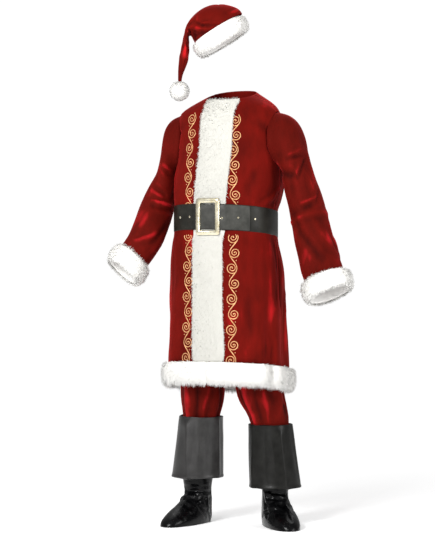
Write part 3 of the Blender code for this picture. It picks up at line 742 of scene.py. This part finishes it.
def make_scroll(velvet_piece, band):
    """Thread laid on one front: each line is a low rounded ribbon on the velvet."""
    tree = surface_tree(velvet_piece)
    x = (PLACKET_HALF + SCROLL_FROM_PLACKET) * (1 if band.side == "left" else -1)
    frames = {}

    def chart(height):
        key = round(height, 4)
        if key not in frames:
            place, normal, _, _ = tree.ray_cast(Vector((x, -1, height - HOLD_HEIGHT)), Vector((0, 1, 0)))
            if place is None:
                frames[key] = None
            else:
                nearby = [tree.ray_cast(Vector((x + dx, -1, height + dz - HOLD_HEIGHT)), Vector((0, 1, 0)))[1]
                          for dx in (-0.012, 0, 0.012) for dz in (-0.012, 0, 0.012)]
                mean = sum((n for n in nearby if n is not None), Vector())
                mean.z = 0
                mean.normalize()
                frames[key] = (place, mean, mean.cross(UP).normalized() * -1)
        return frames[key]

    vertices, faces = [], []
    for line in scroll_lines(band):
        spots = []
        for across, height, width in line:
            frame_here = chart(height) if not BELT_LOW - 0.001 < height < BELT_HIGH + 0.001 else None
            hit = None
            if frame_here:
                middle, out, along = frame_here
                hit = tree.ray_cast(middle + along * across + out * 0.05, -out, 0.12)
            spots.append((hit[0], hit[1], width) if hit and hit[0] is not None else None)
        for k, spot in enumerate(spots):
            ahead = spots[k + 1] if k + 1 < len(spots) else None
            behind = spots[k - 1] if k else None
            if spot is None or (ahead is None and behind is None):
                spots[k] = None
                continue
            run = (ahead or spot)[0] - (behind or spot)[0]
            sideways = spot[1].cross(run).normalized() * spot[2] / 2
            start = len(vertices)
            for share, rise in ((-1, 0.0), (-0.6, 0.75), (0, 1), (0.6, 0.75), (1, 0.0)):
                vertices.append(spot[0] + sideways * share + spot[1] * (0.0001 + THREAD_RISE * rise))
            if behind is not None:
                faces += [(start - 5 + i, start - 4 + i, start + 1 + i, start + i) for i in range(4)]
    data = bpy.data.meshes.new("scroll_" + band.side)
    data.from_pydata(vertices, [], faces)
    return placed("scroll_" + band.side, data, THREAD, "buckle_metal")


# Plush

LOCK_CLUMP = 0.007          # metres across a clump of locks
LOCK_ROOTED = 0.0008        # how deep in the backing the roots stand


def locks(name, data, length, spacing, comb, lift, seed, width=0.0016, where=None, spread=0.35, pull=0.2,
          fringe=0.0):
    """Tapered locks of pile on a mesh, one on each spacing squared, their tips drawn together in clumps.

    where says which roots keep theirs. fringe makes those that look down longer and their clumps closer.
    """
    pick = np.random.default_rng(seed)
    data.calc_loop_triangles()
    points = coordinates(data)
    corners = np.empty(len(data.loop_triangles) * 3, int)
    data.loop_triangles.foreach_get("vertices", corners)
    corners = corners.reshape(-1, 3)
    a, b, c = points[corners[:, 0]], points[corners[:, 1]], points[corners[:, 2]]
    normal = np.cross(b - a, c - a)
    area = np.linalg.norm(normal, axis=1) / 2
    normal = unit(normal, 1e-12)
    count = int(area.sum() / spacing ** 2)
    chosen = pick.choice(len(area), count, p=area / area.sum())
    u, v = pick.random(count), pick.random(count)
    over = u + v > 1
    u[over], v[over] = 1 - u[over], 1 - v[over]
    root = a[chosen] + (b - a)[chosen] * u[:, None] + (c - a)[chosen] * v[:, None]
    out = normal[chosen]
    if where is not None:
        kept = where(root, out)
        root, out = root[kept], out[kept]
        count = len(root)
    fall = np.array(comb, float)
    lie = unit(fall - (out * fall).sum(axis=1, keepdims=True) * out, 0.3)
    wild = pick.normal(0, spread, (count, 3))
    way = unit(out * lift + lie * (1 - lift) + wild)
    clumps = np.floor(root / LOCK_CLUMP + pick.random(3)).astype(int)
    cells, member = np.unique(clumps, axis=0, return_inverse=True)
    member = member.ravel()
    long = length * (pick.uniform(0.6, 1.1, count) * pick.uniform(0.8, 1.2, len(cells))[member])[:, None]
    side = unit(np.cross(way, out + pick.normal(0, 0.5, (count, 3))), 1e-9)
    half = side * width / 2 * pick.uniform(0.7, 1.2, count)[:, None]
    droop = lie * 0.18 - out * 0.06
    root = root - out * LOCK_ROOTED
    middle = root + way * long * 0.5 + droop * long * 0.25
    hanging = fringe * np.clip(-out[:, 2:], 0, 1)
    long = long * (1 + 0.9 * hanging)
    tip = root + way * long * 0.95 + droop * long
    gathered = np.zeros((len(cells), 3))
    np.add.at(gathered, member, tip)
    gathered /= np.bincount(member)[:, None]
    tip += (gathered[member] - tip) * (pull + 0.5 * hanging)
    vertices = np.stack([root - half, root + half, middle - half * 0.8, middle + half * 0.8, tip], axis=1)
    base = np.arange(count)[:, None] * 5
    faces = np.concatenate([base + (0, 1, 3), base + (0, 3, 2), base + (2, 3, 4)], axis=1).reshape(-1, 3)
    flat = vertices.reshape(-1, 3)
    facing = np.cross(flat[faces[:, 1]] - flat[faces[:, 0]], flat[faces[:, 2]] - flat[faces[:, 0]])
    backward = (facing * np.repeat(out, 3, axis=0)).sum(axis=1) < 0
    faces[backward] = faces[backward][:, ::-1]
    made = bpy.data.meshes.new(name)
    made.from_pydata(flat, [], faces)
    return made, np.repeat(unit(out * 0.85 + way * 0.25), 5, axis=0)


def placed_locks(name, pile, material=LOCKS):
    """The locks as a piece, shaded softly, as the surface that they grow from.

    White pile lets light through, so its locks throw no shadows on each other.
    """
    data, normals = pile
    piece = placed(name, data, material, "plush")
    data.normals_split_custom_set_from_vertices(normals.tolist())
    piece.visible_shadow = False
    return piece


def plush_band(node, bend=None, finish=(PLUSH, LOCKS), **options):
    """A plush band: its backing, and its locks as a piece on it."""
    data = subdivided(node, "plush", 2, keep_edges=0.3)
    if bend is not None:
        move_to(data, bend(coordinates(data)))
    backing = placed(node + "_plush", data, finish[0], "plush", node)
    return backing, placed_locks(node + "_pile", locks(node + "_pile", data, **options), finish[1])


def sway(points):
    """The placket hangs a little towards the wearer's right, and narrower, just under the belt."""
    height = points[:, 2] + HOLD_HEIGHT
    share = ease(height, 0.60, 0.80) * (1 - ease(height, BELT_LOW - 0.015, BELT_LOW + 0.01))
    moved = points.copy()
    moved[:, 0] += share * (-0.006 - 0.07 * points[:, 0])
    return moved


def placket_where(root, out):
    """No locks under the belt, and none on the side towards the coat."""
    height = root[:, 2] + HOLD_HEIGHT
    return ((height < BELT_LOW - 0.003) | (height > BELT_HIGH + 0.014)) & (out[:, 1] < 0.35)


def coat_outer(root, out):
    """The side of a band away from the coat's middle, and its lower edge, but not its upper one."""
    away = round_coat(root)[2]
    return (((out * away).sum(axis=1) > 0.25) | (out[:, 2] < -0.4)) & (out[:, 2] < 0.7)


def line_outer(line):
    """The side of a cuff away from the arm, but not its edge at the sleeve."""
    place = round_line(line)

    def where(root, out):
        along, away = place(root)[1:]
        return ((out * away).sum(axis=1) > -0.2) & (along > along.min() + 0.004)
    return where


def make_plush_bands():
    """Placket, hem band and cuffs."""
    made = {
        "placket": plush_band("placket", length=0.011, spacing=0.0019, comb=DOWN, lift=0.45, seed=21,
                              pull=0.1, where=placket_where, bend=sway,
                              finish=(PLACKET_PLUSH, PLACKET_LOCKS)),
        "hem_band": plush_band("hem_band", length=0.016, spacing=0.0017, comb=DOWN, lift=0.55, seed=22,
                               fringe=1.0, where=coat_outer),
    }
    for node, line, seed in (("cuff_left", LEFT_ARM, 23), ("cuff_right", RIGHT_ARM, 24)):
        wrist = (Vector(line[-1]) - Vector(line[-2])).normalized()
        made[node] = plush_band(node, length=0.016, spacing=0.0017, comb=tuple(wrist), lift=0.6, seed=seed,
                                where=line_outer(line))
    return made


# Hat

HAT_AXIS = ((-0.02, -0.02, 0.14), (-0.02, -0.02, 0.36))
HAT_TILT = math.radians(31.5)       # from upright, towards the wearer's right
HAT_RADIUS = 0.085


def hat_where(root, out):
    """The band's side away from the head."""
    low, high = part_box("hat_band")
    away = root - (np.array(low) + np.array(high)) / 2
    tilt = np.array((-math.sin(HAT_TILT), 0, math.cos(HAT_TILT)))
    away = unit(away - (away @ tilt)[:, None] * tilt)
    return ((out * away).sum(axis=1) > -0.1) & (out @ tilt < 0.5)


HAT_FOLDS = folds_of(
    (195, 21, 202, 25.5, 5, -5), (202, 25.5, 219, 25, 5, -4), (192, 27, 204, 29, 7, 6),
    (194, 36, 203, 33, 6, -4), (199, 24, 210, 21, 4, 3), (205, 30, 216, 27, 5, 3),
    (188.5, 30, 190.5, 42, 5, -5), (184.5, 34, 186, 58, 6, 3), (186, 27, 195, 19, 6, -4),
    (181.5, 52, 180.5, 72, 6, -3), (230, 13, 238, 11, 6, 5), (188, 38, 188, 56, 12, 6),
)
HAT_CREASES = creases_of(
    (20, 0.06, 70, 0.11, 10, 4), (-60, 0.05, -30, 0.13, 10, -4), (-100, 0.06, -70, 0.12, 10, 4),
    (120, 0.05, 90, 0.12, 11, -4), (150, 0.06, 170, 0.13, 10, 4),
)


def make_hat():
    """The crown with its folds, the band and the pompom."""
    data = subdivided("hat_crown", "velvet", 3)
    crease_cloth(data, round_line(HAT_AXIS), HAT_RADIUS, HAT_CREASES, seed=12, uneven=0.002, by_normal=True,
                 tree=surface_tree(solids["hat_crown"]), folds=HAT_FOLDS)
    crown = placed("hat_crown_velvet", data, VELVET, "velvet", "hat_crown")
    band = plush_band("hat_band", length=0.013, spacing=0.0017, comb=DOWN, lift=0.45, seed=25, spread=0.25,
                      where=hat_where)
    ball = subdivided("hat_pompom", "plush", 1)
    placed("hat_pompom_plush", ball, PLUSH, "plush", "hat_pompom")
    pile = locks("hat_pompom_pile", ball, length=0.009, spacing=0.0011, comb=DOWN, lift=0.8, seed=26,
                 width=0.0022, spread=0.25)
    placed_locks("hat_pompom_pile", pile)
    return crown, band


# Trousers, belt and boots

LEG_RADIUS = 0.075


def slice_line(nodes, count):
    """The middle of some nodes together at so many heights, top to bottom."""
    points = np.concatenate([coordinates(solids[node].data) for node in nodes])
    heights = np.linspace(points[:, 2].max(), points[:, 2].min(), count + 1)
    line = []
    for high, low in zip(heights, heights[1:]):
        some = points[(points[:, 2] <= high) & (points[:, 2] >= low)]
        if len(some):
            line.append((some.max(axis=0) + some.min(axis=0)) / 2)
    return line


LEG_CREASES = creases_of(
    (-40, 0.42, -30, 0.62, 10, 6), (-10, 0.44, 0, 0.64, 10, -6), (20, 0.42, 25, 0.64, 9, 6),
    (50, 0.45, 45, 0.62, 10, -5), (85, 0.42, 80, 0.64, 10, 6), (130, 0.44, 135, 0.62, 10, -6),
    (170, 0.42, 165, 0.64, 10, 6), (-80, 0.44, -85, 0.64, 10, -6), (-130, 0.42, -125, 0.62, 10, 6),
)


def leg_keep(angle, along):
    """The legs crease between the hem and the boots' tops, where they show."""
    return ease(along, 0.35, 0.42) * (1 - ease(along, 0.60, 0.66))


def make_trousers():
    """The legs' panels and the waistband."""
    made = {}
    for side, seed in (("left", 9), ("right", 19)):
        panels = (f"trouser_front_{side}", f"trouser_back_{side}")
        place = round_line(slice_line(panels, 8))
        for node in panels:
            data = subdivided(node, "velvet", 2)
            crease_cloth(data, place, LEG_RADIUS, LEG_CREASES, seed=seed, keep=leg_keep)
            # The legs take the darker velvet copy: painted shade
            made[node] = placed(node + "_velvet", data, SHADED_VELVET, "velvet", node)
    node = "trouser_waistband"
    # The waistband takes the darker velvet copy: painted shade
    made[node] = placed(node + "_velvet", subdivided(node, "velvet", 1), SHADED_VELVET, "velvet", node)
    return made


FAINT_EYELET = (221.8, 218.0)   # photo pixel: the eyelet in the belt's end beside the buckle
EYELET_RADIUS = 0.0034
EYELET_WIRE = 0.0008
BUCKLE_ROUNDING = 0.0018


def make_belt():
    """The strap, its end, the buckle and the eyelets."""
    made = {}
    for node, finish in (("belt_strap", BELT_LEATHERETTE), ("belt_end", END_LEATHERETTE)):
        data = subdivided(node, "leatherette", 2, keep_edges=0.85)
        made[node] = placed(node + "_leatherette", data, finish, "leatherette", node)
    buckle = welded("buckle_frame")
    bmesh.ops.bevel(
        buckle, geom=sharp_edges(buckle), offset=BUCKLE_ROUNDING, segments=3, profile=0.6, affect="EDGES")
    data = bpy.data.meshes.new("buckle")
    buckle.to_mesh(data)
    buckle.free()
    placed("buckle", data, METAL, "buckle_metal", "buckle_frame")
    for k in range(1, 5):
        materials = solids[f"eyelet_{k}"].data.materials
        materials.clear()
        materials.append(METAL)
    place, normal = surface_tree(solids["belt_end"]).ray_cast(CAMERA_PLACE, sight(*FAINT_EYELET))[:2]
    bpy.ops.mesh.primitive_torus_add(
        major_radius=EYELET_RADIUS, minor_radius=EYELET_WIRE, major_segments=24, minor_segments=8,
        location=place + normal * EYELET_WIRE / 2, rotation=normal.to_track_quat("Z", "Y").to_euler(),
    )
    ring = bpy.context.object
    ring.name = "faint_eyelet"
    ring.data.materials.append(METAL)
    ring.data.shade_smooth()
    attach(ring, "root")
    return made


BOOT_FOLDS = folds_of(
    (184, 483, 209, 484, 4.5, 3), (185, 487, 207, 487.5, 4, -3), (186, 490.5, 210, 491.5, 6, -4),
    (194, 492, 209, 495.5, 4.5, 3.5), (187.5, 495, 194, 501, 4.5, 3), (196, 499, 207, 499, 5, -3),
    (185.5, 501.5, 198.3, 508.5, 5, 4), (185, 506, 195, 511.5, 4.5, -3.5), (182, 507, 193.5, 513, 4.5, 3),
    (207.5, 495.5, 208.5, 509, 6, 3), (176, 513, 184, 519, 6, -2), (199, 506, 206, 516, 7, -3),
    (265, 490, 284, 490.5, 5, -4), (266, 494, 284, 496.5, 5, 3.5), (265, 495, 267.2, 503, 5, 3.5),
    (268, 498.5, 283, 500, 5, -3.5), (270.8, 501.6, 286, 502.8, 5, 4), (272, 505, 285, 505.5, 4.5, -3),
    (275.7, 508.2, 287, 507.7, 4.5, 3), (266, 504, 267, 516, 7, -4), (285, 506, 291, 513, 7, 3),
    (270, 511, 273, 520, 6, -2), (287, 514, 291, 521, 6, -2.5),
)
BOOT_CREASES = creases_of(
    (110, 0.27, 150, 0.275, 6, -3), (-150, 0.285, -110, 0.28, 6, -3), (160, 0.3, -170, 0.305, 6, 3),
    (-130, 0.305, 170, 0.32, 6, -3), (70, 0.295, 110, 0.31, 6, 3), (-90, 0.3, -60, 0.315, 6, 3),
)
CUFF_FOLDS = folds_of(
    (186.7, 416, 187.5, 476, 16, 8.5), (196.4, 433, 199.5, 448.7, 7, 2.2),
    (199.5, 448.7, 196.4, 468, 7, 2.2), (193, 440, 192, 462, 8, -2), (205, 425, 206, 470, 10, -2.5),
    (218, 420, 219, 474, 12, 6), (173.5, 425, 170, 474, 12, 4), (279.3, 424, 285.5, 486, 16, 8),
    (264, 430, 265, 480, 22, -4), (252.5, 428, 252, 484, 12, 4), (272, 440, 275, 470, 8, 1.5),
)
CUFF_CREASES = creases_of(
    (90, 0.02, 95, 0.2, 10, -2), (140, 0.01, 135, 0.19, 8, 2), (180, 0.02, 175, 0.2, 4, 2.5),
    (-140, 0.03, -135, 0.2, 12, -2), (-95, 0.01, -100, 0.2, 9, 2),
)


def roll_edge(data, low, width=0.005, rise=0.0016):
    """A turned cuff's lower edge is rolled: it stands out a little all round."""
    points = coordinates(data)
    edge = np.exp(-((points[:, 2] - low - width * 0.6) / width) ** 2)
    out = points - points.mean(axis=0)
    out[:, 2] = 0
    move_to(data, points + unit(out) * (rise * edge)[:, None])


def make_boots():
    """The shafts with their foot parts, and the turned tops with pressed edges and a rolled rim."""
    made = {}
    for side, seed, cuff_finish in (("left", 31, SHADED_CUFF_LEATHERETTE), ("right", 32, CUFF_LEATHERETTE)):
        for node, finish, folds, creases, edges in (
            (f"boot_shaft_{side}", BOOT_LEATHERETTE, BOOT_FOLDS, BOOT_CREASES, 1.0),
            (f"boot_cuff_{side}", cuff_finish, CUFF_FOLDS, CUFF_CREASES, 0.5),
        ):
            tree = surface_tree(solids[node])
            # The other boot's folds miss this one
            own = [fold for fold in folds if len(fold_line(tree, fold)) > 3]
            data = subdivided(node, "leatherette", 3, keep_edges=edges)
            crease_cloth(data, round_line(slice_line((node,), 10)), LEG_RADIUS, creases, seed=seed,
                         wobble=0.003, uneven=0.0008, by_normal=True, tree=tree, folds=own,
                         sharp=folds is CUFF_FOLDS)
            if node.startswith("boot_cuff"):
                roll_edge(data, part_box(node)[0][2])
            made[node] = placed(node + "_leatherette", data, finish, "leatherette", node)
    return made


# Stage, lights and camera

FLOOR_BELOW = 0.001         # metres from the soles down to the floor
FLOOR_RADIUS = 30


def make_stage():
    """The floor and the room: bright to the camera, dimmer where it lights the suit."""
    bpy.ops.mesh.primitive_circle_add(
        vertices=96, radius=FLOOR_RADIUS, fill_type="NGON", location=(0, 0, cad_box[0].z - FLOOR_BELOW))
    floor = bpy.context.object
    floor.name = "studio_floor"
    floor.data.materials.append(make_floor())
    world = bpy.data.worlds.new("studio")
    bpy.context.scene.world = world
    world.use_nodes = True
    tree = world.node_tree
    seen = tree.nodes["Background"]
    lights = tree.nodes.new("ShaderNodeBackground")
    for background, strength in ((seen, ROOM_WHITE), (lights, ROOM_LIGHT)):
        background.inputs["Color"].default_value = (1, 1, 1, 1)
        background.inputs["Strength"].default_value = strength
    path = tree.nodes.new("ShaderNodeLightPath")
    chosen = tree.nodes.new("ShaderNodeMixShader")
    tree.links.new(path.outputs["Is Camera Ray"], chosen.inputs[0])
    tree.links.new(lights.outputs[0], chosen.inputs[1])
    tree.links.new(seen.outputs[0], chosen.inputs[2])
    tree.links.new(chosen.outputs[0], tree.nodes["World Output"].inputs["Surface"])
    bpy.context.scene.view_settings.view_transform = "Standard"
    bpy.context.scene.view_settings.exposure = EXPOSURE


def make_light(name, turn, up, far, size, power):
    """A soft square light that looks at the suit's middle; turn is measured like the camera's."""
    turn = math.radians(turn)
    middle = Vector((0, 0, CAMERA_AIM_UP))
    place = middle + Vector((math.sin(turn) * far, -math.cos(turn) * far, up))
    data = bpy.data.lights.new(name, "AREA")
    data.energy = power
    data.size = size
    light = linked(name, data)
    light.location = place
    light.rotation_euler = (middle - place).to_track_quat("-Z", "Y").to_euler()


def make_camera():
    """The camera that took the photo, fitted to it."""
    data = bpy.data.cameras.new("camera")
    data.sensor_width = CAMERA_SENSOR
    data.lens = CAMERA_SENSOR * CAMERA_FAR / FRAME_HEIGHT
    camera = linked("camera", data)
    camera.location = CAMERA_PLACE
    camera.rotation_euler = CAMERA_AHEAD.to_track_quat("-Z", "Y").to_euler()
    bpy.context.scene.camera = camera


make_camera()
make_stage()
make_light("key", turn=-4, up=1.8, far=4.0, size=1.4, power=235)
make_light("fill", turn=78, up=1.0, far=4.5, size=1.6, power=95)
make_light("back", turn=200, up=3.0, far=3.0, size=3.0, power=50)
coat = make_coat()
scrolls = {band.side: make_scroll(coat["coat_front_" + band.side], band) for band in SCROLL_BANDS}
bands = make_plush_bands()
crown, bands["hat_band"] = make_hat()
trousers = make_trousers()
belt = make_belt()
boots = make_boots()

# Cloth as cut: the rectangle that each piece is cut from, how much of it the piece takes, and what it rests on

Cut = namedtuple("Cut", "width length area held rests_on")
with_it = {"coat_front_" + side: [scroll] for side, scroll in scrolls.items()}
for node, (backing, pile) in bands.items():
    with_it[node] = [pile]
